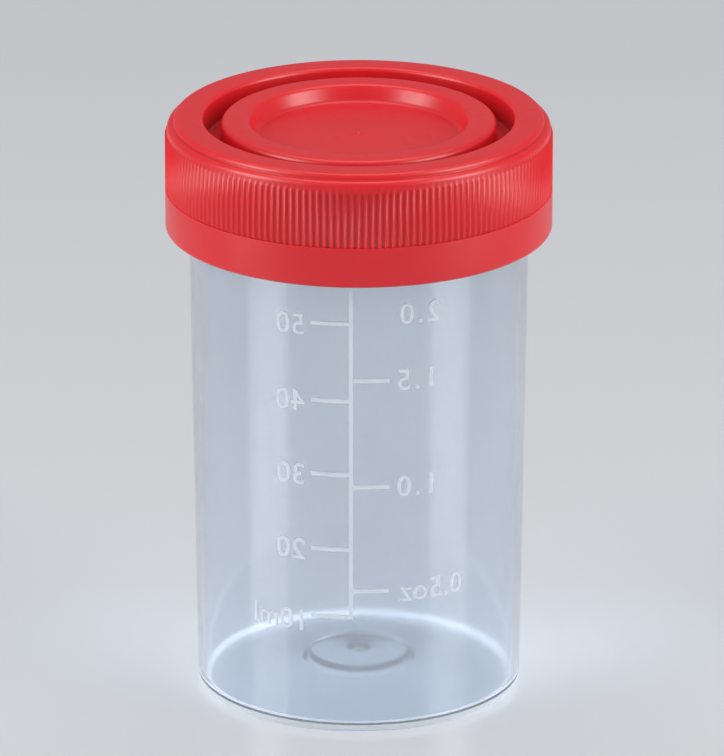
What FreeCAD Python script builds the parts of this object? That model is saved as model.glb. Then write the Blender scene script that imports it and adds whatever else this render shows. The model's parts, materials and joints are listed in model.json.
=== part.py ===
import FreeCAD, Part
import math
import os

from FreeCAD import Vector

# Specimen container: a graduated cup and its screw cap, both injection moulded.
# Millimetres. The cup's axis is Z, its foot stands on Z = 0, and its scale faces -Y.
# An edge is eased by a bevel, given as what it takes off each of its two sides.

# ---- cup wall and rim
cup_height = 67.5            # foot to rim
foot_radius = 18.8           # outside of the wall, extended down to Z = 0
wall_draft = 0.84            # degrees by which the wall opens upwards
wall = 0.9
foot_bevel = 0.4
inner_corner_bevel = 0.4     # between wall and floor, inside

# ---- cup floor, a shallow push-up with a raised disc in its middle
floor_edge_height = 0.75     # top of the floor where it meets the wall
floor_thickness = 0.85
foot_width = 1.05            # flat ring that the cup stands on
crease_radius = 12.4         # where the floor gets steeper
crease_rise = 0.7            # above the floor's edge
cone_rise = 1.05             # from the crease to the foot of the disc
disc_radius = 5.6
disc_step = 0.75
disc_slant = 0.75            # how far the disc's edge leans out
gate_radius = 1.5            # shallow dimple where the plastic went in
gate_depth = 0.25

# ---- scale, raised on the outside of the wall
scale_relief = 0.18
scale_stroke = 0.42
scale_line_offset = -0.9     # the upright line, in X
scale_line_bottom = 14.4
scale_line_top_cover = 2.0   # how far the line runs up behind the cap's skirt
ml_side = -1                 # the millilitre ticks point to -X, the ounce ticks to +X
ml_tick_length = 4.6
oz_tick_length = 4.4
ml_tick_heights = (14.4, 22.7, 31.9, 40.9, 50.3)
oz_tick_heights = (17.6, 30.4, 43.4)

# ---- screw cap
top_thickness = 1.3          # over the cup's rim
skirt_depth = 12.0           # below the cup's rim
skirt_wall = 1.2
thread_room = 1.35           # between the cup's neck and the skirt, taken by the thread
skirt_bevel = 0.4
plug_clearance = 0.08        # between the plug and the cup's bore
plug_wall = 0.9
plug_lead_in = 0.5           # chamfer that guides the plug into the bore
moat_depth = 3.3             # below the cap's top
moat_width = 2.06
moat_edge_bevel = 0.35       # along the moat's outer edge
web = 1.0                    # thickness of the cap's inner parts

# ---- middle of the cap: a raised ring round a sunken disc
ring_width = 3.2
ring_drop = 0.3              # ring below the rim's top
ring_bevel = 0.5
ring_slant = 0.8             # how far the ring's inner side leans in
panel_recess = 2.2           # panel below the rim's top
nub_radius = 0.45            # gate mark in the middle of the panel
nub_height = 0.2

# ---- outside of the cap, from the rim down
rim_edge_bevel = 0.35
rim_edge_drop = 0.7          # from the top to the crease outside the rim
shoulder_width = 0.75        # from the crease to the grip's root
shoulder_bevel = 0.45
grip_top_drop = 1.8          # from the top to where the ribs begin
grip_height = 6.7
rib_count = 180
rib_height = 0.28


def wall_radius(height):
    """Outside radius of the cup's wall at a height."""
    return foot_radius + height * math.tan(math.radians(wall_draft))


def bevelled_outline(corners):
    """Closed face in the XZ plane. Each corner is (radius, height, bevel)."""
    corner_points = [Vector(radius, 0, height) for radius, height, _ in corners]
    points = []
    for index, corner in enumerate(corner_points):
        bevel = corners[index][2]
        if not bevel:
            points.append(corner)
            continue
        for neighbour in (corner_points[index - 1], corner_points[(index + 1) % len(corners)]):
            points.append(corner + (neighbour - corner).normalize() * bevel)
    return Part.Face(Part.makePolygon(points + points[:1]))


def revolved(corners):
    return bevelled_outline(corners).revolve(Vector(0, 0, 0), Vector(0, 0, 1), 360)


def floor_line(drop):
    """The floor from its middle outwards, lowered by drop: (radius, height, bevel)."""
    crease_height = floor_edge_height + crease_rise - drop
    cone_top = crease_height + cone_rise
    disc_height = cone_top + disc_step
    return [
        (disc_radius, disc_height, 0),
        (disc_radius + disc_slant, cone_top, 0),
        (crease_radius, crease_height, 0),
    ]


def cup_body():
    """Wall, floor and foot ring, turned in one outline."""
    rim_radius = wall_radius(cup_height)
    inner_foot_radius = wall_radius(floor_edge_height) - wall
    disc_height = floor_line(0)[0][1]
    foot_inner_edge = foot_radius - foot_bevel - foot_width
    outline = [(0, disc_height - gate_depth, 0), (gate_radius, disc_height, 0)]
    outline += floor_line(0)
    outline += [
        (inner_foot_radius, floor_edge_height, inner_corner_bevel),
        (rim_radius - wall, cup_height, 0),
        (rim_radius, cup_height, 0),
        (foot_radius, 0, foot_bevel),
        (foot_inner_edge, 0, 0),
    ]
    outline += reversed(floor_line(floor_thickness))
    outline += [(0, disc_height - floor_thickness, 0)]
    return revolved(outline)


def raised_bar(left, right, bottom, top):
    """A bar of the scale: it lies on the wall's -Y side and follows its curve and draft."""
    embed = wall / 2
    skin = revolved([
        (wall_radius(bottom) - embed, bottom, 0),
        (wall_radius(bottom) + scale_relief, bottom, 0),
        (wall_radius(top) + scale_relief, top, 0),
        (wall_radius(top) - embed, top, 0),
    ])
    reach = 2 * wall_radius(top)
    window = Part.makeBox(right - left, reach, top - bottom, Vector(left, -reach, bottom))
    return skin.common(window)


def scale_bars():
    half = scale_stroke / 2
    line_top = cup_height - skirt_depth + scale_line_top_cover
    bars = [
        raised_bar(scale_line_offset - half, scale_line_offset + half,
                   scale_line_bottom - half, line_top)
    ]
    for heights, side, length in (
        (ml_tick_heights, ml_side, ml_tick_length),
        (oz_tick_heights, -ml_side, oz_tick_length),
    ):
        tick_end = scale_line_offset + side * length
        left = min(scale_line_offset, tick_end)
        right = max(scale_line_offset, tick_end)
        for height in heights:
            bars.append(raised_bar(left, right, height - half, height + half))
    return bars


def cup():
    return cup_body().multiFuse(scale_bars()).removeSplitter()


def cap_radii():
    """Radii of the cap, worked out from the cup's neck and bore."""
    neck_radius = wall_radius(cup_height)
    plug_radius = neck_radius - wall - plug_clearance
    moat_outer = plug_radius - plug_wall
    skirt_inner = neck_radius + thread_room
    return plug_radius, moat_outer, skirt_inner, skirt_inner + skirt_wall


def cap_body():
    """Skirt, rim, plug seal, ring and panel, turned in one outline."""
    plug_radius, moat_outer, skirt_inner, skirt_outer = cap_radii()
    top = cup_height + top_thickness
    skirt_bottom = cup_height - skirt_depth
    grip_top = top - grip_top_drop
    grip_bottom = grip_top - grip_height
    grip_root = skirt_outer - rib_height
    grip_seat = grip_root - rib_height
    crease = grip_root - shoulder_width
    ring_outer = moat_outer - moat_width
    ring_inner = ring_outer - ring_width
    ring_top = top - ring_drop
    panel_radius = ring_inner - ring_slant
    panel_top = top - panel_recess
    moat_floor = top - moat_depth
    return revolved([
        (0, panel_top + nub_height, 0),
        (nub_radius, panel_top + nub_height, 0),
        (nub_radius, panel_top, 0),
        (panel_radius, panel_top, ring_bevel),
        (ring_inner, ring_top, ring_bevel),
        (ring_outer, ring_top, ring_bevel),
        (ring_outer, moat_floor, 0),
        (moat_outer, moat_floor, 0),
        (moat_outer, top, moat_edge_bevel),
        (crease, top, rim_edge_bevel),
        (crease, top - rim_edge_drop, 0),
        (grip_root, top - rim_edge_drop, shoulder_bevel),
        (grip_root, grip_top, 0),
        (grip_seat, grip_top, 0),
        (grip_seat, grip_bottom, 0),
        (skirt_outer, grip_bottom, 0),
        (skirt_outer, skirt_bottom, skirt_bevel),
        (skirt_inner, skirt_bottom, 0),
        (skirt_inner, cup_height, 0),
        (plug_radius, cup_height, 0),
        (plug_radius, moat_floor - web + plug_lead_in, 0),
        (plug_radius - plug_lead_in, moat_floor - web, 0),
        (ring_outer - web, moat_floor - web, 0),
        (ring_outer - web, ring_top - web, 0),
        (ring_inner + web, ring_top - web, 0),
        (panel_radius + web, panel_top - web, 0),
        (0, panel_top - web, 0),
    ])


def grip_ribs():
    """The ribbed band, one ring with all the ribs on it, seated in the skirt."""
    crest = cap_radii()[-1]
    root = crest - rib_height
    bottom = cup_height + top_thickness - grip_top_drop - grip_height
    half_pitch = math.pi / rib_count
    points = []
    for step in range(2 * rib_count):
        radius = root if step % 2 else crest
        angle = step * half_pitch
        points.append(Vector(radius * math.cos(angle), radius * math.sin(angle), bottom))
    ribbed = Part.Face(Part.makePolygon(points + points[:1]))
    hole = Part.Face(Part.Wire(Part.makeCircle(root - 1.5 * rib_height, Vector(0, 0, bottom))))
    return ribbed.cut(hole).extrude(Vector(0, 0, grip_height))


def screw_cap():
    return cap_body().fuse(grip_ribs()).removeSplitter()


def main():
    os.makedirs("parts", exist_ok=True)
    for name, shape in (("cup", cup()), ("screw_cap", screw_cap())):
        if not shape.isValid() or len(shape.Solids) != 1:
            raise RuntimeError(name + " is not one valid solid")
        shape.exportStep("parts/" + name + ".step")
        box = shape.BoundBox
        print(name, "volume %.2f cm3" % (shape.Volume / 1000), "faces", len(shape.Faces),
              "box %.2f x %.2f x %.2f" % (box.XLength, box.YLength, box.ZLength))


if __name__ == "__main__":
    main()
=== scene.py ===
import json
import math

import bpy
from bpy.props import BoolProperty, FloatProperty, FloatVectorProperty, IntProperty, PointerProperty
from mathutils import Matrix, Vector

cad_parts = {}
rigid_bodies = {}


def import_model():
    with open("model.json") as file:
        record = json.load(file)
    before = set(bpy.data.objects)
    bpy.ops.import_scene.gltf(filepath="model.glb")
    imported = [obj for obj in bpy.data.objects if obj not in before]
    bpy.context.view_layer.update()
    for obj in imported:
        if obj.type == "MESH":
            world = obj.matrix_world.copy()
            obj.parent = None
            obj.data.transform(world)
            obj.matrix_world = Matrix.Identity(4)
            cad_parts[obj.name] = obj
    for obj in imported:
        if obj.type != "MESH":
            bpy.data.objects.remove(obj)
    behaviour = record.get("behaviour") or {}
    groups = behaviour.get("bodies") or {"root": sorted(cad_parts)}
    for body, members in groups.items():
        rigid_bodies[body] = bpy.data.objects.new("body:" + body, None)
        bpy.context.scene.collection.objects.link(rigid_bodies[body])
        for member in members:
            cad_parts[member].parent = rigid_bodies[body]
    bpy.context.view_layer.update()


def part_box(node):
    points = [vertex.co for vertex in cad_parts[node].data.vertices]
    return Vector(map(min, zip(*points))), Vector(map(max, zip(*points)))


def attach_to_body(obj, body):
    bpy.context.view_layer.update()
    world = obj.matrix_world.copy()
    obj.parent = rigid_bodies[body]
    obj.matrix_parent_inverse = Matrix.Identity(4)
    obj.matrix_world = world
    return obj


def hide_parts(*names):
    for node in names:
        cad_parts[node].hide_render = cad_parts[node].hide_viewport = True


bl_info = {
    "name": "Specimen Bottle Builder",
    "version": (1, 0, 0),
    "blender": (4, 5, 0),
    "location": "3D View > Sidebar > Specimen Bottle",
    "description": "Models a graduated specimen cup with a ribbed screw cap and its studio",
    "category": "Object",
}

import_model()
CUP_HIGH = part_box("cup")[1]
CAP_LOW, CAP_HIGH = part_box("screw_cap")

MM = 0.001
AXIS_POINT = (0, 0, 0)
UP = (0, 0, 1)
FULL_TURN = 2 * math.pi
WELD = 1e-6                      # vertices closer than this are one
CORNER_STEP = math.radians(15)   # turn from one point of a rounded corner to the next
RIB_COLUMNS = 4                  # vertices round one rib: one on its crest, the rest in its groove
SMOOTH_ANGLE = math.radians(34)  # edges sharper than this stay sharp
RIB_SMOOTH_ANGLE = math.radians(60)

# The scale, from the bottom up: each numeral, its tick's height over the foot in millimetres,
# and how far its own middle lies below the tick
ML_MARKS = (
    ("10ml", 14.4, 0.9), ("20", 22.7, 0.4), ("30", 31.9, 0.4), ("40", 40.9, 0.4), ("50", 50.3, 0.5),
)
OZ_MARKS = (("0.5oz", 17.6, 0.35), ("1.0", 30.4, 0.2), ("1.5", 43.4, 0.2))
OZ_TOP_LABEL = ("2.0", 51.2)     # a numeral without a tick, and its height


def length(name, description, default):
    """A property in metres, shown to a hundredth of a millimetre."""
    return FloatProperty(
        name=name, description=description, default=default,
        min=0, unit="LENGTH", precision=5,
    )


# ---------------------------------------------------------------- settings

class CupSettings(bpy.types.PropertyGroup):
    height: length("Height", "Foot to rim", CUP_HIGH.z)
    rim_radius: length("Rim radius", "Outside of the wall at the rim", CUP_HIGH.x)
    draft: FloatProperty(
        name="Draft", description="Angle by which the wall opens upwards",
        default=math.radians(0.84), subtype="ANGLE",
    )
    wall: length("Wall", "Thickness of the wall", 0.9 * MM)
    floor_edge: length("Floor edge", "Top of the floor where it meets the wall", 0.75 * MM)
    corner_rounding: length("Corner rounding", "Between wall and floor, inside", 0.5 * MM)
    floor_wall: length("Floor thickness", "Thickness of the floor", 0.85 * MM)
    foot_width: length("Foot width", "Flat ring that the cup stands on", 1.05 * MM)
    foot_rounding: length("Foot rounding", "Outer corner of the foot", 0.45 * MM)
    # the foot band is whiter as a painted glow for the light the thick foot gathers
    foot_band: length("Foot band", "Height of the whiter band round the foot", 0.9 * MM)
    crease_radius: length("Crease radius", "Where the floor gets steeper", 12.4 * MM)
    crease_rise: length("Crease rise", "From the floor's edge to the crease", 0.7 * MM)
    cone_rise: length("Cone rise", "From the crease to the foot of the disc", 1.05 * MM)
    disc_radius: length("Disc radius", "Raised disc in the middle of the floor", 5.6 * MM)
    disc_step: length("Disc step", "Height of the disc over the cone", 0.75 * MM)
    disc_slant: length("Disc slant", "How far the disc's edge leans out", 0.75 * MM)
    gate_radius: length("Gate radius", "Dimple where the plastic went in", 1.5 * MM)
    gate_depth: length("Gate depth", "Depth of that dimple", 0.25 * MM)
    steps: IntProperty(name="Steps", description="Facets round the cup", default=300, min=24)


class ScaleSettings(bpy.types.PropertyGroup):
    relief: length("Relief", "How far the scale stands off the wall", 0.18 * MM)
    stroke: length("Stroke", "Width of the line and its ticks", 0.42 * MM)
    line_offset: length("Line offset", "The upright line, off the middle", 0.9 * MM)
    line_bottom: length("Line bottom", "Lower end of the upright line", 14.4 * MM)
    line_cover: length("Line cover", "How far the line runs up behind the cap", 2.0 * MM)
    ml_tick: length("Millilitre tick", "Length of a millilitre tick", 4.6 * MM)
    oz_tick: length("Ounce tick", "Length of an ounce tick", 4.4 * MM)
    digit_height: length("Digit height", "Height of a numeral", 2.5 * MM)
    ml_label_edge: length("Millilitre labels", "From the middle to their near edge", 6.3 * MM)
    oz_label_edge: length("Ounce labels", "From the middle to their near edge", 4.75 * MM)
    spacing: FloatProperty(
        name="Spacing", description="Distance between numerals, as a share of the font's",
        default=1.03,
    )
    wide_spacing: FloatProperty(
        name="Wide spacing", description="The same for an ounce label without a unit", default=1.2,
    )
    turned_round: BoolProperty(
        name="Turned round", default=True,
        description="The scale reads the right way through the cup, from its other side",
    )


class ThreadSettings(bpy.types.PropertyGroup):
    pitch: length("Pitch", "Rise of the thread in one turn", 4.2 * MM)
    turns: FloatProperty(name="Turns", description="Length of a ridge in turns", default=1.3)
    ridge_root: length("Root width", "Width of a ridge at the wall", 1.5 * MM)
    ridge_crest: length("Crest width", "Width of a ridge at its crest", 0.7 * MM)
    clearance: length("Clearance", "From a crest to the wall that faces it", 0.3 * MM)
    flank_gap: length("Flank gap", "Between the two ridges where they meet", 0.15 * MM)
    start_drop: length("Start drop", "From the cup's rim to the top of its thread", 2.2 * MM)
    embed: length("Embed", "How deep a ridge is set into its wall", 0.3 * MM)
    steps: IntProperty(name="Steps", description="Facets in one turn", default=120, min=24)


class CapSettings(bpy.types.PropertyGroup):
    top: length("Top", "Height of the cap's rim", CAP_HIGH.z)
    bottom: length("Bottom", "Height of the skirt's lower edge", CAP_LOW.z)
    radius: length("Radius", "Outside of the skirt", CAP_HIGH.x)
    skirt_wall: length("Skirt wall", "Thickness of the skirt", 1.2 * MM)
    web: length("Web", "Thickness of the inner parts", 1.0 * MM)
    plug_clearance: length("Plug clearance", "Between plug and bore", 0.08 * MM)
    plug_wall: length("Plug wall", "Thickness of the plug seal", 0.9 * MM)
    moat_depth: length("Moat depth", "Depth of the groove inside the rim", 3.3 * MM)
    moat_width: length("Moat width", "Width of the groove inside the rim", 2.06 * MM)
    ring_width: length("Ring width", "Raised ring inside the moat", 3.2 * MM)
    ring_drop: length("Ring drop", "Ring below the rim's top", 0.3 * MM)
    ring_slant: length("Ring slant", "How far the ring's inner side leans", 0.8 * MM)
    panel_recess: length("Panel recess", "Panel below the rim's top", 2.2 * MM)
    rim_drop: length("Rim drop", "From the top to the crease outside the rim", 0.7 * MM)
    shoulder: length("Shoulder", "From that crease to the root of the grip", 0.75 * MM)
    grip_drop: length("Grip drop", "From the top to the start of the ribs", 1.8 * MM)
    grip_height: length("Grip height", "Height of the ribbed band", 6.7 * MM)
    rib_count: IntProperty(name="Ribs", description="Ribs round the skirt", default=180, min=12)
    rib_height: length("Rib height", "Depth of the grooves between ribs", 0.24 * MM)


class FinishSettings(bpy.types.PropertyGroup):
    clear_tint: FloatVectorProperty(
        name="Clear plastic", description="Tint of the cup", subtype="COLOR",
        default=(0.81, 0.85, 0.90), min=0, max=1,
    )
    red: FloatVectorProperty(
        name="Red plastic", description="Colour of the cap", subtype="COLOR",
        default=(0.62, 0.010, 0.016), min=0, max=1,
    )
    floor: FloatVectorProperty(
        name="Floor", description="Colour of the studio floor", subtype="COLOR",
        default=(0.55, 0.56, 0.58), min=0, max=1,
    )


class StageSettings(bpy.types.PropertyGroup):
    distance: length("Distance", "Camera to the middle of the view", 1.1284)
    aim_height: length("Aim height", "Height that the camera looks at", 36.78 * MM)
    tilt: FloatProperty(
        name="Tilt", description="How far the camera looks down",
        default=math.radians(19.76), subtype="ANGLE",
    )
    lens: FloatProperty(name="Lens", description="Focal length in mm", default=308.5, min=1)
    side_shift: FloatProperty(
        name="Side shift", description="Sideways shift of the lens", default=0.0042,
    )
    side_power: FloatProperty(
        name="Side lights", description="Power of each side light in watts", default=7.5, min=0,
    )
    top_power: FloatProperty(
        name="Top light", description="Power of the overhead light in watts", default=4, min=0,
    )
    sky: FloatProperty(
        name="Sky", description="Strength of the even light all round", default=0.30, min=0,
    )


SETTINGS = (
    ("bottle_cup", CupSettings),
    ("bottle_scale", ScaleSettings),
    ("bottle_thread", ThreadSettings),
    ("bottle_cap", CapSettings),
    ("bottle_finish", FinishSettings),
    ("bottle_stage", StageSettings),
)


# ---------------------------------------------------------------- modelling helpers

def deselect_everything():
    for thing in bpy.context.view_layer.objects:
        thing.select_set(False)


def select_only(piece):
    deselect_everything()
    piece.select_set(True)
    bpy.context.view_layer.objects.active = piece


def begin_edit(piece):
    select_only(piece)
    bpy.ops.object.mode_set(mode="EDIT")


def finish_edit():
    bpy.ops.object.mode_set(mode="OBJECT")


def pick(piece, wanted):
    """In edit mode, select the vertices that pass the test of (index, place)."""
    bpy.ops.mesh.select_all(action="DESELECT")
    bpy.ops.object.mode_set(mode="OBJECT")
    for vertex in piece.data.vertices:
        vertex.select = wanted(vertex.index, vertex.co)
    bpy.ops.object.mode_set(mode="EDIT")


def face_outwards():
    """In edit mode, weld the piece and turn all its faces outwards."""
    bpy.ops.mesh.select_all(action="SELECT")
    bpy.ops.mesh.remove_doubles(threshold=WELD)
    bpy.ops.mesh.dissolve_degenerate(threshold=WELD)
    bpy.ops.mesh.normals_make_consistent(inside=False)


def apply_modifier(piece, kind, **values):
    modifier = piece.modifiers.new(kind.title(), kind)
    for name, value in values.items():
        setattr(modifier, name, value)
    bpy.context.view_layer.objects.active = piece
    bpy.ops.object.modifier_apply(modifier=modifier.name)


def put_in_place(piece):
    """Move the object's place, turn and scale into its mesh."""
    select_only(piece)
    bpy.ops.object.transform_apply(location=True, rotation=True, scale=True)


def rounded(corners):
    """Points of an outline whose (radius, height, rounding) corners are rounded by arcs."""
    places = [Vector((radius, 0, height)) for radius, height, _ in corners]
    points = []
    for index, corner in enumerate(places):
        rounding = corners[index][2]
        if not rounding:
            points.append(corner)
            continue
        before = (places[index - 1] - corner).normalized()
        after = (places[(index + 1) % len(places)] - corner).normalized()
        half_angle = before.angle(after) / 2
        turn = math.pi - 2 * half_angle
        centre = corner + (before + after).normalized() * (rounding / math.sin(half_angle))
        spoke = corner + before * (rounding / math.tan(half_angle)) - centre
        side = math.copysign(1, before.cross(after).y)
        steps = max(2, round(turn / CORNER_STEP))
        for step in range(steps + 1):
            points.append(centre + Matrix.Rotation(-side * turn * step / steps, 3, "Y") @ spoke)
    return points


def draw_outline(name, corners):
    """A new piece in edit mode: an outline in the XZ plane, drawn point by point."""
    points = rounded(corners)
    deselect_everything()
    bpy.ops.mesh.primitive_plane_add(size=MM, location=points[0])
    piece = bpy.context.object
    piece.name = name
    put_in_place(piece)
    begin_edit(piece)
    bpy.ops.mesh.merge(type="CENTER")
    for start, end in zip(points, points[1:]):
        bpy.ops.mesh.extrude_region_move(TRANSFORM_OT_translate={"value": end - start})
    bpy.ops.mesh.select_all(action="SELECT")
    return piece


def lathe(name, corners, steps):
    """A turned solid: an outline spun round Z and welded."""
    piece = draw_outline(name, corners)
    bpy.ops.mesh.spin(steps=steps, angle=FULL_TURN, center=AXIS_POINT, axis=UP)
    face_outwards()
    finish_edit()
    return piece


def helical_ridge(name, thread, root_radius, crest_radius, start_height):
    """A thread's ridge: a trapezoid screwed up round Z, with ends that run into the wall."""
    depth = crest_radius - root_radius
    middle = (crest_radius + root_radius) / 2
    deselect_everything()
    bpy.ops.mesh.primitive_plane_add(
        size=1, location=(middle, 0, start_height), rotation=(math.pi / 2, 0, 0),
    )
    ridge = bpy.context.object
    ridge.name = name
    ridge.scale = (abs(depth), thread.ridge_root, 1)
    put_in_place(ridge)
    crest = {
        vertex.index for vertex in ridge.data.vertices if (vertex.co.x - middle) * depth > 0
    }
    corners = len(ridge.data.vertices)
    begin_edit(ridge)
    bpy.ops.mesh.delete(type="ONLY_FACE")
    pick(ridge, lambda index, place: index in crest)
    bpy.ops.transform.resize(
        value=(1, 1, thread.ridge_crest / thread.ridge_root),
        center_override=(middle, 0, start_height),
    )
    finish_edit()
    run_out = thread.steps // 8      # each end sinks into the wall over an eighth of a turn
    steps = round(thread.steps * thread.turns)
    apply_modifier(
        ridge, "SCREW", angle=FULL_TURN * thread.turns, screw_offset=thread.pitch * thread.turns,
        steps=steps, render_steps=steps,
    )
    begin_edit(ridge)
    for step in range(run_out):
        reach = math.sin(math.pi / 2 * (step + 0.5) / run_out)
        shrink = (root_radius + depth * reach) / crest_radius
        ends = (step, steps - step)
        pick(ridge, lambda index, place: index % corners in crest and index // corners in ends)
        bpy.ops.transform.resize(value=(shrink, shrink, 1), center_override=AXIS_POINT)
    bpy.ops.mesh.select_all(action="SELECT")
    bpy.ops.mesh.fill_holes(sides=corners)
    face_outwards()
    finish_edit()
    return ridge


def fuse(piece, addition):
    """Fuse a closed shape into a piece, so that both are one skin."""
    apply_modifier(
        piece, "BOOLEAN", operation="UNION", solver="MANIFOLD", material_mode="TRANSFER",
        object=addition,
    )
    bpy.data.objects.remove(addition)


# ---------------------------------------------------------------- the cup

def wall_radius(cup, height):
    """Outside radius of the cup's wall at a height."""
    return cup.rim_radius - (cup.height - height) * math.tan(cup.draft)


def floor_line(cup, drop):
    """The floor from its disc outwards, lowered by drop."""
    crease_height = cup.floor_edge + cup.crease_rise - drop
    cone_top = crease_height + cup.cone_rise
    disc_rounding = 0.35 * MM
    disc_foot_rounding = 0.6 * MM
    crease_rounding = 6 * MM
    return [
        (cup.disc_radius, cone_top + cup.disc_step, disc_rounding),
        (cup.disc_radius + cup.disc_slant, cone_top, disc_foot_rounding),
        (cup.crease_radius, crease_height, crease_rounding),
    ]


def cup_outline(cup):
    """Corners of the cup's outline, from the middle of its floor out, up and back below."""
    nub_radius = 0.32 * MM
    nub_height = 0.22 * MM
    nub_rounding = 0.12 * MM
    nub_slant = 0.1 * MM
    nub_foot_rounding = 0.05 * MM
    gate_slope = 0.6 * MM
    gate_rounding = 0.3 * MM
    gate_edge_rounding = 0.4 * MM
    foot_inner_rounding = 0.2 * MM
    foot_radius = wall_radius(cup, 0)
    floor_radius = wall_radius(cup, cup.floor_edge) - cup.wall
    disc_height = floor_line(cup, 0)[0][1]
    gate_height = disc_height - cup.gate_depth
    # two rings, next to the roundings, keep the smooth shading of the inner wall straight
    rim_rounding = 0.3 * MM
    wall_foot = cup.floor_edge + 2 * cup.corner_rounding
    wall_head = cup.height - 2 * rim_rounding
    return [
        (0, gate_height + nub_height, 0),
        (nub_radius, gate_height + nub_height, nub_rounding),
        (nub_radius + nub_slant, gate_height, nub_foot_rounding),
        (cup.gate_radius - gate_slope, gate_height, gate_rounding),
        (cup.gate_radius, disc_height, gate_edge_rounding),
        *floor_line(cup, 0),
        (floor_radius, cup.floor_edge, cup.corner_rounding),
        (wall_radius(cup, wall_foot) - cup.wall, wall_foot, 0),
        (wall_radius(cup, wall_head) - cup.wall, wall_head, 0),
        (cup.rim_radius - cup.wall, cup.height, rim_rounding),
        (cup.rim_radius, cup.height, rim_rounding),
        (wall_radius(cup, cup.foot_band), cup.foot_band, 0),
        (foot_radius, 0, cup.foot_rounding),
        (foot_radius - cup.foot_rounding - cup.foot_width, 0, foot_inner_rounding),
        *reversed(floor_line(cup, cup.floor_wall)),
        (0, disc_height - cup.floor_wall, 0),
    ]


def stand_on_wall(mark, cup, along, height):
    """Stand a flat mark up against the wall, at a distance along it from its -Y side."""
    radius = wall_radius(cup, height)
    angle = along / radius
    mark.location = (radius * math.sin(angle), -radius * math.cos(angle), height)
    mark.rotation_euler = (math.pi / 2, 0, angle)
    put_in_place(mark)


def add_bar(cup, left, right, bottom, top):
    """A flat bar of the scale, between two distances along the wall and two heights."""
    column = 0.5 * MM
    columns = max(2, math.ceil((right - left) / column))
    deselect_everything()
    bpy.ops.mesh.primitive_grid_add(size=1, x_subdivisions=columns, y_subdivisions=2)
    bar = bpy.context.object
    bar.scale = (right - left, top - bottom, 1)
    stand_on_wall(bar, cup, (left + right) / 2, (bottom + top) / 2)
    return bar


def add_label(cup, scale, text, edge, height, spacing):
    """A flat numeral that starts at a distance to the right, or ends there if it is negative."""
    digit_share = 0.7                # height of the font's numerals as a share of its size
    arc_steps = 5                    # points along one curve of a numeral
    straight = math.radians(1)       # edges that bend less than this are joined
    deselect_everything()
    bpy.ops.object.text_add()
    label = bpy.context.object
    label.data.body = text
    label.data.size = scale.digit_height / digit_share
    label.data.space_character = spacing
    label.data.resolution_u = arc_steps
    label.data.align_x = "CENTER"
    label.data.align_y = "CENTER"
    bpy.context.view_layer.update()
    half_width = label.dimensions.x / 2
    bpy.ops.object.convert(target="MESH")
    label = bpy.context.object
    begin_edit(label)
    bpy.ops.mesh.select_all(action="SELECT")
    bpy.ops.mesh.remove_doubles(threshold=WELD)
    bpy.ops.mesh.dissolve_limited(angle_limit=straight)
    finish_edit()
    stand_on_wall(label, cup, edge + math.copysign(half_width, edge), height)
    return label


def raise_mark(mark, scale, wall):
    """Lay a flat mark on the wall and thicken it, half standing proud and half set in."""
    apply_modifier(mark, "SHRINKWRAP", target=wall, wrap_method="NEAREST_SURFACEPOINT")
    apply_modifier(mark, "SOLIDIFY", thickness=2 * scale.relief, offset=0)
    begin_edit(mark)
    if scale.turned_round:
        bpy.ops.mesh.select_all(action="SELECT")
        bpy.ops.transform.resize(value=(-1, 1, 1), center_override=AXIS_POINT)
    face_outwards()
    finish_edit()


def scale_marks(cup, scale, line_top):
    """The upright line, its ticks and its numerals, as flat shapes against the wall."""
    half = scale.stroke / 2
    line = scale.line_offset
    marks = [add_bar(cup, line - half, line + half, scale.line_bottom - half, line_top)]
    for text, tick, drop in ML_MARKS:
        height = tick * MM
        marks.append(add_bar(cup, line, line + scale.ml_tick, height - half, height + half))
        marks.append(add_label(
            cup, scale, text, scale.ml_label_edge, height - drop * MM, scale.spacing,
        ))
    for text, tick, drop in OZ_MARKS:
        height = tick * MM
        spacing = scale.spacing if text.endswith("oz") else scale.wide_spacing
        marks.append(add_bar(cup, line - scale.oz_tick, line, height - half, height + half))
        marks.append(add_label(
            cup, scale, text, -scale.oz_label_edge, height - drop * MM, spacing,
        ))
    text, height = OZ_TOP_LABEL
    marks.append(add_label(
        cup, scale, text, -scale.oz_label_edge, height * MM, scale.wide_spacing,
    ))
    return marks


class BOTTLE_OT_cup(bpy.types.Operator):
    """Turn the cup, and raise its thread and its scale on it"""
    bl_idname = "bottle.cup"
    bl_label = "Graduated Cup"

    def execute(self, context):
        cup = context.scene.bottle_cup
        scale = context.scene.bottle_scale
        thread = context.scene.bottle_thread
        cap = context.scene.bottle_cap
        finish = context.scene.bottle_finish
        piece = lathe("graduated_cup", cup_outline(cup), cup.steps)
        cover(piece, clear_plastic(finish))
        cover_foot(piece, foot_plastic(finish), cup)
        marks = scale_marks(cup, scale, cap.bottom + scale.line_cover)
        for mark in marks:
            raise_mark(mark, scale, piece)
            cover(mark, mark_plastic(finish))
        ridge = helical_ridge(
            "neck_thread", thread, neck_thread_root(cup, thread),
            skirt_inside(cap) - thread.clearance, neck_thread_start(cup, thread),
        )
        cover(ridge, clear_plastic(finish))
        for addition in (ridge, *marks):
            fuse(piece, addition)
        attach(piece, "cup", "cup", SMOOTH_ANGLE)
        return {"FINISHED"}


# ---------------------------------------------------------------- the screw cap

def skirt_inside(cap):
    return cap.radius - cap.skirt_wall


def neck_thread_root(cup, thread):
    """Radius of the cup's thread at its root, inside the wall at its lower end."""
    lowest = neck_thread_start(cup, thread) - thread.ridge_root
    return wall_radius(cup, lowest) - thread.embed


def neck_thread_start(cup, thread):
    """Height of the lower end of the cup's thread."""
    return cup.height - thread.start_drop - thread.pitch * thread.turns


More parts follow.
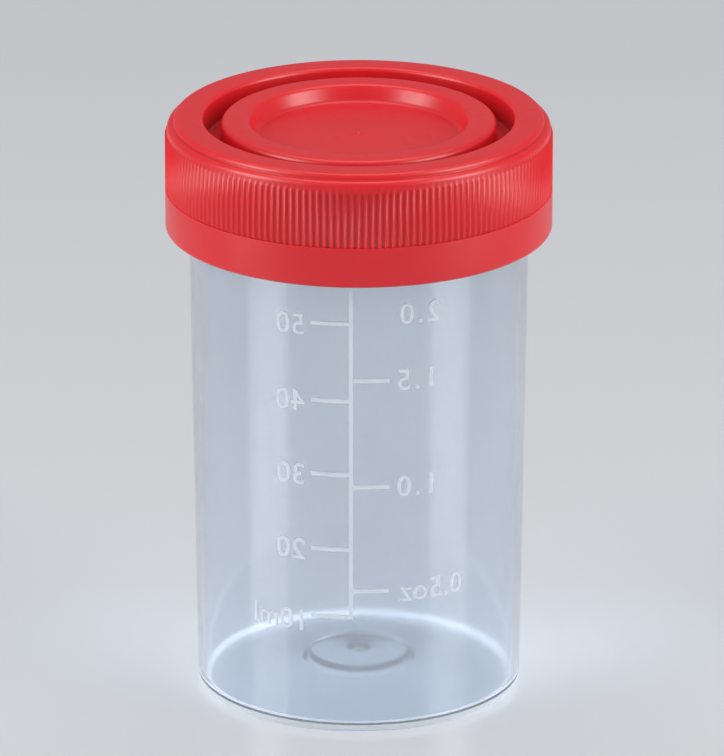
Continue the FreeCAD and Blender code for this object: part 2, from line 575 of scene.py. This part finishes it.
def cap_outline(cup, cap):
    """Corners of the cap's outline, from the middle of its top out, down and back below."""
    plug_radius = cup.rim_radius - cup.wall - cap.plug_clearance
    moat_outer = plug_radius - cap.plug_wall
    ring_outer = moat_outer - cap.moat_width
    ring_inner = ring_outer - cap.ring_width
    ring_top = cap.top - cap.ring_drop
    panel_radius = ring_inner - cap.ring_slant
    panel_top = cap.top - cap.panel_recess
    moat_floor = cap.top - cap.moat_depth
    grip_root = cap.radius - cap.rib_height
    grip_top = cap.top - cap.grip_drop
    grip_bottom = grip_top - cap.grip_height
    crease = grip_root - cap.shoulder
    shoulder_top = cap.top - cap.rim_drop
    rib_end = 0.14 * MM              # the ribs' upper ends slope over this height
    ledge = 0.05 * MM                # and their lower ends over this
    nub_tip = 0.2 * MM
    nub_radius = 0.45 * MM
    nub_height = 0.25 * MM
    nub_rounding = 0.15 * MM
    nub_foot_rounding = 0.1 * MM
    ring_rounding = 0.7 * MM
    moat_rounding = 0.4 * MM
    rim_rounding = 0.45 * MM
    crease_rounding = 0.1 * MM
    shoulder_rounding = 0.6 * MM
    skirt_outer_rounding = 0.5 * MM
    skirt_inner_rounding = 0.25 * MM
    seat_rounding = 0.4 * MM
    plug_root_rounding = 0.1 * MM
    plug_tip_rounding = 0.2 * MM
    web_rounding = 0.3 * MM
    lead_in = 0.5 * MM
    return [
        (0, panel_top + nub_height, 0),
        (nub_tip, panel_top + nub_height, nub_rounding),
        (nub_radius, panel_top, nub_foot_rounding),
        (panel_radius, panel_top, ring_rounding),
        (ring_inner, ring_top, ring_rounding),
        (ring_outer, ring_top, ring_rounding),
        (ring_outer, moat_floor, moat_rounding),
        (moat_outer, moat_floor, moat_rounding),
        (moat_outer, cap.top, rim_rounding),
        (crease, cap.top, rim_rounding),
        (crease, shoulder_top, crease_rounding),
        (grip_root, shoulder_top, shoulder_rounding),
        (grip_root, grip_top, 0),
        (cap.radius, grip_top - rib_end, 0),
        (cap.radius, grip_bottom + ledge, 0),
        (cap.radius, grip_bottom, 0),
        (cap.radius, cap.bottom, skirt_outer_rounding),
        (skirt_inside(cap), cap.bottom, skirt_inner_rounding),
        (skirt_inside(cap), cup.height, seat_rounding),
        (plug_radius, cup.height, plug_root_rounding),
        (plug_radius, moat_floor - cap.web + lead_in, plug_tip_rounding),
        (plug_radius - lead_in, moat_floor - cap.web, plug_tip_rounding),
        (ring_outer - cap.web, moat_floor - cap.web, web_rounding),
        (ring_outer - cap.web, ring_top - cap.web, web_rounding),
        (ring_inner + cap.web, ring_top - cap.web, web_rounding),
        (panel_radius + cap.web, panel_top - cap.web, web_rounding),
        (0, panel_top - cap.web, 0),
    ]


def press_groove(piece, cap):
    """In edit mode, draw one rib's sector inwards between its crest and the next one's."""
    column_angle = FULL_TURN / (cap.rib_count * RIB_COLUMNS)
    grip_top = cap.top - cap.grip_drop
    grip_bottom = grip_top - cap.grip_height
    root = cap.radius - cap.rib_height
    outside = root - cap.rib_height

    def in_groove(index, place):
        if not grip_bottom + WELD < place.z < grip_top - WELD:
            return False
        if math.hypot(place.x, place.y) < outside:
            return False
        column = round(math.atan2(place.y, place.x) / column_angle)
        return column % RIB_COLUMNS > 0

    shrink = root / cap.radius
    pick(piece, in_groove)
    bpy.ops.transform.resize(value=(shrink, shrink, 1), center_override=AXIS_POINT)


class BOTTLE_OT_cap(bpy.types.Operator):
    """Turn the screw cap with its rim, moat, ring and plug, and press its ribs"""
    bl_idname = "bottle.cap"
    bl_label = "Screw Cap"

    def execute(self, context):
        cup = context.scene.bottle_cup
        cap = context.scene.bottle_cap
        sector = FULL_TURN / cap.rib_count
        piece = draw_outline("ribbed_cap", cap_outline(cup, cap))
        bpy.ops.mesh.spin(steps=RIB_COLUMNS, angle=sector, center=AXIS_POINT, axis=UP)
        press_groove(piece, cap)
        bpy.ops.mesh.select_all(action="SELECT")
        bpy.ops.mesh.spin(
            steps=cap.rib_count - 1, dupli=True, angle=FULL_TURN - sector,
            center=AXIS_POINT, axis=UP,
        )
        face_outwards()
        finish_edit()
        cover(piece, red_plastic(context.scene.bottle_finish))
        attach(piece, "cap", "screw_cap", RIB_SMOOTH_ANGLE)
        return {"FINISHED"}


class BOTTLE_OT_cap_thread(bpy.types.Operator):
    """Wind the thread inside the cap, just under the cup's own thread"""
    bl_idname = "bottle.cap_thread"
    bl_label = "Cap Thread"

    def execute(self, context):
        cup = context.scene.bottle_cup
        cap = context.scene.bottle_cap
        thread = context.scene.bottle_thread
        spacing = (thread.ridge_root + thread.ridge_crest) / 2 + thread.flank_gap
        ridge = helical_ridge(
            "cap_thread", thread, skirt_inside(cap) + thread.embed,
            cup.rim_radius + thread.clearance, neck_thread_start(cup, thread) - spacing,
        )
        cover(ridge, red_plastic(context.scene.bottle_finish))
        attach(ridge, "cap", "screw_cap", SMOOTH_ANGLE)
        return {"FINISHED"}


# ---------------------------------------------------------------- finishes

def new_node(tree, kind, place, **values):
    """Add a node. Values that name an input socket are set there, the others on the node."""
    node = tree.nodes.new(kind)
    node.location = place
    for name, value in values.items():
        socket = node.inputs.get(name.replace("_", " "))
        if socket is not None:
            socket.default_value = value
        else:
            setattr(node, name, value)
    return node


def new_group(name, inputs, outputs):
    """A shader node group with float inputs {name: default} and outputs {name: kind}."""
    group = bpy.data.node_groups.new(name, "ShaderNodeTree")
    for title, default in inputs.items():
        socket = group.interface.new_socket(title, in_out="INPUT", socket_type="NodeSocketFloat")
        socket.default_value = default
    for title, kind in outputs.items():
        group.interface.new_socket(title, in_out="OUTPUT", socket_type=kind)
    return group


def moulded_surface():
    """Group: the faint orange peel, flow waves and scuffs of injection moulded plastic."""
    name = "Moulded Surface"
    if name in bpy.data.node_groups:
        return bpy.data.node_groups[name]
    group = new_group(
        name,
        {"Peel Size": 900, "Wave Size": 60, "Wave Height": 0.5, "Scuffs": 0.3},
        {"Height": "NodeSocketFloat", "Wear": "NodeSocketFloat", "Tone": "NodeSocketFloat"},
    )
    source = new_node(group, "NodeGroupInput", (-900, 0))
    place = new_node(group, "ShaderNodeTexCoord", (-900, -300))
    peel = new_node(group, "ShaderNodeTexNoise", (-600, 200), Detail=3, Roughness=0.55)
    wave = new_node(group, "ShaderNodeTexNoise", (-600, -50), Detail=1, Distortion=0.6)
    scratch_stretch = new_node(group, "ShaderNodeMapping", (-750, -350), Scale=(1, 1, 0.12))
    scratch = new_node(group, "ShaderNodeTexNoise", (-600, -350), Scale=700, Detail=4)
    scratch_cut = new_node(group, "ShaderNodeMapRange", (-380, -350))
    scratch_cut.inputs["From Min"].default_value = 0.60
    scratch_cut.inputs["From Max"].default_value = 0.78
    tone = new_node(group, "ShaderNodeTexNoise", (-600, -600), Scale=45, Detail=2)
    wave_part = new_node(group, "ShaderNodeMath", (-350, 0), operation="MULTIPLY")
    height = new_node(group, "ShaderNodeMath", (-150, 100), operation="ADD")
    wear = new_node(group, "ShaderNodeMath", (-150, -300), operation="MULTIPLY")
    target = new_node(group, "NodeGroupOutput", (100, 0))
    link = group.links.new
    link(place.outputs["Object"], peel.inputs["Vector"])
    link(place.outputs["Object"], wave.inputs["Vector"])
    link(place.outputs["Object"], scratch_stretch.inputs["Vector"])
    link(scratch_stretch.outputs["Vector"], scratch.inputs["Vector"])
    link(place.outputs["Object"], tone.inputs["Vector"])
    link(source.outputs["Peel Size"], peel.inputs["Scale"])
    link(source.outputs["Wave Size"], wave.inputs["Scale"])
    link(wave.outputs["Fac"], wave_part.inputs[0])
    link(source.outputs["Wave Height"], wave_part.inputs[1])
    link(peel.outputs["Fac"], height.inputs[0])
    link(wave_part.outputs["Value"], height.inputs[1])
    link(scratch.outputs["Fac"], scratch_cut.inputs["Value"])
    link(scratch_cut.outputs["Result"], wear.inputs[0])
    link(source.outputs["Scuffs"], wear.inputs[1])
    link(height.outputs["Value"], target.inputs["Height"])
    link(wear.outputs["Value"], target.inputs["Wear"])
    link(tone.outputs["Fac"], target.inputs["Tone"])
    return group


def new_material(name):
    """An empty material with its Principled shader and output, and its node tree."""
    material = bpy.data.materials.new(name)
    material.use_nodes = True
    tree = material.node_tree
    tree.nodes.clear()
    shader = new_node(tree, "ShaderNodeBsdfPrincipled", (300, 0))
    output = new_node(tree, "ShaderNodeOutputMaterial", (650, 0))
    tree.links.new(shader.outputs["BSDF"], output.inputs["Surface"])
    return material, tree, shader


def surface_detail(tree, peel_size, wave_size, wave_height, scuffs):
    """Place the moulded surface group in a material, with its own values."""
    surface = new_node(tree, "ShaderNodeGroup", (-700, -100))
    surface.node_tree = moulded_surface()
    surface.inputs["Peel Size"].default_value = peel_size
    surface.inputs["Wave Size"].default_value = wave_size
    surface.inputs["Wave Height"].default_value = wave_height
    surface.inputs["Scuffs"].default_value = scuffs
    return surface


def vary(tree, place, driver, low, high):
    """Spread a noise's middle values between two values, and give the socket they come from."""
    spread = new_node(tree, "ShaderNodeMapRange", place)
    spread.inputs["From Min"].default_value = 0.3
    spread.inputs["From Max"].default_value = 0.7
    spread.inputs["To Min"].default_value = low
    spread.inputs["To Max"].default_value = high
    tree.links.new(driver, spread.inputs["Value"])
    return spread.outputs["Result"]


def tint(tree, place, driver, first, second, result):
    """Mix two colours by a value and feed the mix to a socket."""
    mix = new_node(tree, "ShaderNodeMix", place, data_type="RGBA")
    colour_sockets = [socket for socket in mix.inputs if socket.type == "RGBA"]
    colour_sockets[0].default_value = (*first, 1)
    colour_sockets[1].default_value = (*second, 1)
    tree.links.new(driver, mix.inputs["Factor"])
    tree.links.new(next(socket for socket in mix.outputs if socket.type == "RGBA"), result)


def deeper(colour, share):
    return [channel * share for channel in colour]


def dress(tree, shader, surface, colours, roughness, bump):
    """Let a moulded surface's tone, wear and height play over colour, roughness and normal."""
    bump_height = 0.00002
    tone = surface.outputs["Tone"]
    tint(tree, (-300, 250), tone, *colours, shader.inputs["Base Color"])
    scuffed = new_node(tree, "ShaderNodeMath", (-150, 0), operation="ADD")
    tree.links.new(vary(tree, (-450, 0), tone, *roughness), scuffed.inputs[0])
    tree.links.new(surface.outputs["Wear"], scuffed.inputs[1])
    tree.links.new(scuffed.outputs["Value"], shader.inputs["Roughness"])
    relief = new_node(tree, "ShaderNodeBump", (0, -300), Strength=bump, Distance=bump_height)
    tree.links.new(surface.outputs["Height"], relief.inputs["Height"])
    tree.links.new(relief.outputs["Normal"], shader.inputs["Normal"])


def frosted_plastic(name, finish, milkiness, roughness):
    """Clear polypropylene: lets the light through, with a bluish milkiness."""
    if name in bpy.data.materials:
        return bpy.data.materials[name]
    material, tree, shader = new_material(name)
    shader.inputs["Transmission Weight"].default_value = 1 - milkiness
    shader.inputs["IOR"].default_value = 1.49
    surface = surface_detail(tree, peel_size=500, wave_size=90, wave_height=2.0, scuffs=0.05)
    tones = finish.clear_tint, deeper(finish.clear_tint, 0.93)
    dress(tree, shader, surface, tones, (roughness, roughness + 0.08), bump=0.25)
    one_face = [math.sqrt(channel) for channel in finish.clear_tint]     # a wall has two
    let_lamps_through(tree, shader, one_face)
    return material


def let_lamps_through(tree, shader, colour):
    """Lamps light what is behind the plastic, as they do through a real thin wall."""
    path = new_node(tree, "ShaderNodeLightPath", (100, 450))
    open_way = new_node(tree, "ShaderNodeBsdfTransparent", (300, 250), Color=(*colour, 1))
    switch = new_node(tree, "ShaderNodeMixShader", (500, 150))
    output = next(node for node in tree.nodes if node.type == "OUTPUT_MATERIAL")
    tree.links.new(path.outputs["Is Shadow Ray"], switch.inputs[0])
    tree.links.new(shader.outputs["BSDF"], switch.inputs[1])
    tree.links.new(open_way.outputs["BSDF"], switch.inputs[2])
    tree.links.new(switch.outputs["Shader"], output.inputs["Surface"])


def clear_plastic(finish):
    return frosted_plastic("Frosted Polypropylene", finish, milkiness=0.06, roughness=0.05)


def mark_plastic(finish):
    """The scale's own surface, a little rougher than the wall; its whiter finish is a painted
    highlight for the light its raised strokes catch.
    """
    # whiter, milkier finish on the scale: painted highlight on the raised strokes
    return frosted_plastic("Etched Polypropylene", finish, milkiness=0.45, roughness=0.30)


def foot_plastic(finish):
    """The foot ring, thick and scuffed; its milkier, whiter finish is a painted glow for the light
    that the thick plastic gathers.
    """
    # whiter, milkier finish on the foot: painted glow for the light the thick plastic gathers
    return frosted_plastic("Scuffed Polypropylene", finish, milkiness=0.6, roughness=0.35)


def red_plastic(finish):
    """Satin red polyethylene: a little light goes in and comes out beside where it went in."""
    name = "Red Polyethylene"
    if name in bpy.data.materials:
        return bpy.data.materials[name]
    material, tree, shader = new_material(name)
    shader.inputs["IOR"].default_value = 1.51
    shader.inputs["Subsurface Weight"].default_value = 0.35
    shader.inputs["Subsurface Radius"].default_value = (1.0, 0.2, 0.15)
    shader.inputs["Subsurface Scale"].default_value = 0.0015
    surface = surface_detail(tree, peel_size=1500, wave_size=120, wave_height=0.6, scuffs=0.12)
    dress(tree, shader, surface, (finish.red, deeper(finish.red, 0.88)), (0.30, 0.38), bump=0.3)
    return material


def floor_finish(finish):
    material, tree, shader = new_material("Pale Floor")
    cloud = new_node(tree, "ShaderNodeTexNoise", (-700, 0), Scale=9, Detail=3)
    paler = [min(1, channel * 1.02) for channel in finish.floor]
    tint(tree, (-300, 0), cloud.outputs["Fac"], finish.floor, paler, shader.inputs["Base Color"])
    shader.inputs["Roughness"].default_value = 0.12
    return material


def cover(piece, material):
    piece.data.materials.clear()
    piece.data.materials.append(material)


def cover_foot(piece, material, cup):
    """The foot ring and the corner inside it, where the wall is thick, get a whiter finish: a
    painted glow for the light the thick plastic gathers there.
    """
    piece.data.materials.append(material)
    inside = wall_radius(cup, 0) - cup.foot_rounding - cup.foot_width - WELD
    top = cup.floor_edge + cup.corner_rounding
    for face in piece.data.polygons:
        highest = max(piece.data.vertices[corner].co.z for corner in face.vertices)
        if highest < top and face.center.xy.length > inside:
            # these faces take the whiter finish, a painted glow
            face.material_index = 1


def attach(piece, body, node, smooth_angle):
    """Smooth a finished piece and give it its place in the object."""
    put_in_place(piece)
    bpy.ops.object.shade_smooth_by_angle(angle=smooth_angle)
    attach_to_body(piece, body)
    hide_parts(node)


# ---------------------------------------------------------------- stage

def point_at(thing, target):
    """Turn a lamp or camera so that it looks at a point."""
    direction = Vector(target) - thing.location
    thing.rotation_euler = direction.to_track_quat("-Z", "Y").to_euler()


def add_soft_light(name, place, size, power, target):
    """A rectangular lamp. What shows through the clear plastic doesn't include the lamp."""
    deselect_everything()
    bpy.ops.object.light_add(type="AREA", location=place)
    lamp = bpy.context.object
    lamp.name = name
    lamp.data.shape = "RECTANGLE"
    lamp.data.size, lamp.data.size_y = size
    lamp.data.energy = power
    lamp.visible_transmission = False
    point_at(lamp, target)


class BOTTLE_OT_stage(bpy.types.Operator):
    """Lay the pale floor, hang the soft lights and set up the camera"""
    bl_idname = "bottle.stage"
    bl_label = "Studio"

    def execute(self, context):
        stage = context.scene.bottle_stage
        floor_size = 6
        side_place, side_size = (0.75, -0.32, 0.38), (0.45, 0.75)
        top_place, top_size = (0, 0.25, 1.0), (0.9, 0.7)
        sky_colour = (0.93, 0.96, 1.0, 1)
        deselect_everything()
        bpy.ops.mesh.primitive_plane_add(size=floor_size)
        floor = bpy.context.object
        floor.name = "floor"
        floor.data.materials.append(floor_finish(context.scene.bottle_finish))

        target = (0, 0, stage.aim_height)
        for name, side in (("left_light", -1), ("right_light", 1)):
            place = (side * side_place[0], *side_place[1:])
            add_soft_light(name, place, side_size, stage.side_power, target)
        add_soft_light("top_light", top_place, top_size, stage.top_power, target)

        world = bpy.data.worlds.new("soft_sky")
        world.use_nodes = True
        background = world.node_tree.nodes["Background"]
        background.inputs["Color"].default_value = sky_colour
        background.inputs["Strength"].default_value = stage.sky
        context.scene.world = world
        context.scene.view_settings.view_transform = "Standard"

        back = stage.distance * math.cos(stage.tilt)
        rise = stage.distance * math.sin(stage.tilt)
        bpy.ops.object.camera_add(location=(0, -back, stage.aim_height + rise))
        camera = bpy.context.object
        camera.name = "camera"
        point_at(camera, target)
        camera.data.sensor_fit = "VERTICAL"
        camera.data.sensor_height = 24
        camera.data.lens = stage.lens
        camera.data.shift_x = stage.side_shift
        camera.data.clip_start = 0.01
        context.scene.camera = camera
        return {"FINISHED"}


# ---------------------------------------------------------------- panel and registration

OPERATORS = (BOTTLE_OT_cup, BOTTLE_OT_cap, BOTTLE_OT_cap_thread, BOTTLE_OT_stage)


class BOTTLE_PT_panel(bpy.types.Panel):
    """The bottle's pieces and their sizes"""
    bl_label = "Specimen Bottle"
    bl_idname = "BOTTLE_PT_panel"
    bl_space_type = "VIEW_3D"
    bl_region_type = "UI"
    bl_category = "Specimen Bottle"

    def draw(self, context):
        for operator in OPERATORS:
            self.layout.operator(operator.bl_idname)
        for name, group in SETTINGS:
            box = self.layout.box()
            settings = getattr(context.scene, name)
            for field in group.__annotations__:
                box.prop(settings, field)


def register():
    for name, group in SETTINGS:
        bpy.utils.register_class(group)
        setattr(bpy.types.Scene, name, PointerProperty(type=group))
    for cls in (*OPERATORS, BOTTLE_PT_panel):
        bpy.utils.register_class(cls)


def unregister():
    for cls in (BOTTLE_PT_panel, *reversed(OPERATORS)):
        bpy.utils.unregister_class(cls)
    for name, group in reversed(SETTINGS):
        delattr(bpy.types.Scene, name)
        bpy.utils.unregister_class(group)


def main():
    register()
    bpy.ops.bottle.cup()
    bpy.ops.bottle.cap()
    bpy.ops.bottle.cap_thread()
    bpy.ops.bottle.stage()


if __name__ == "__main__":
    main()
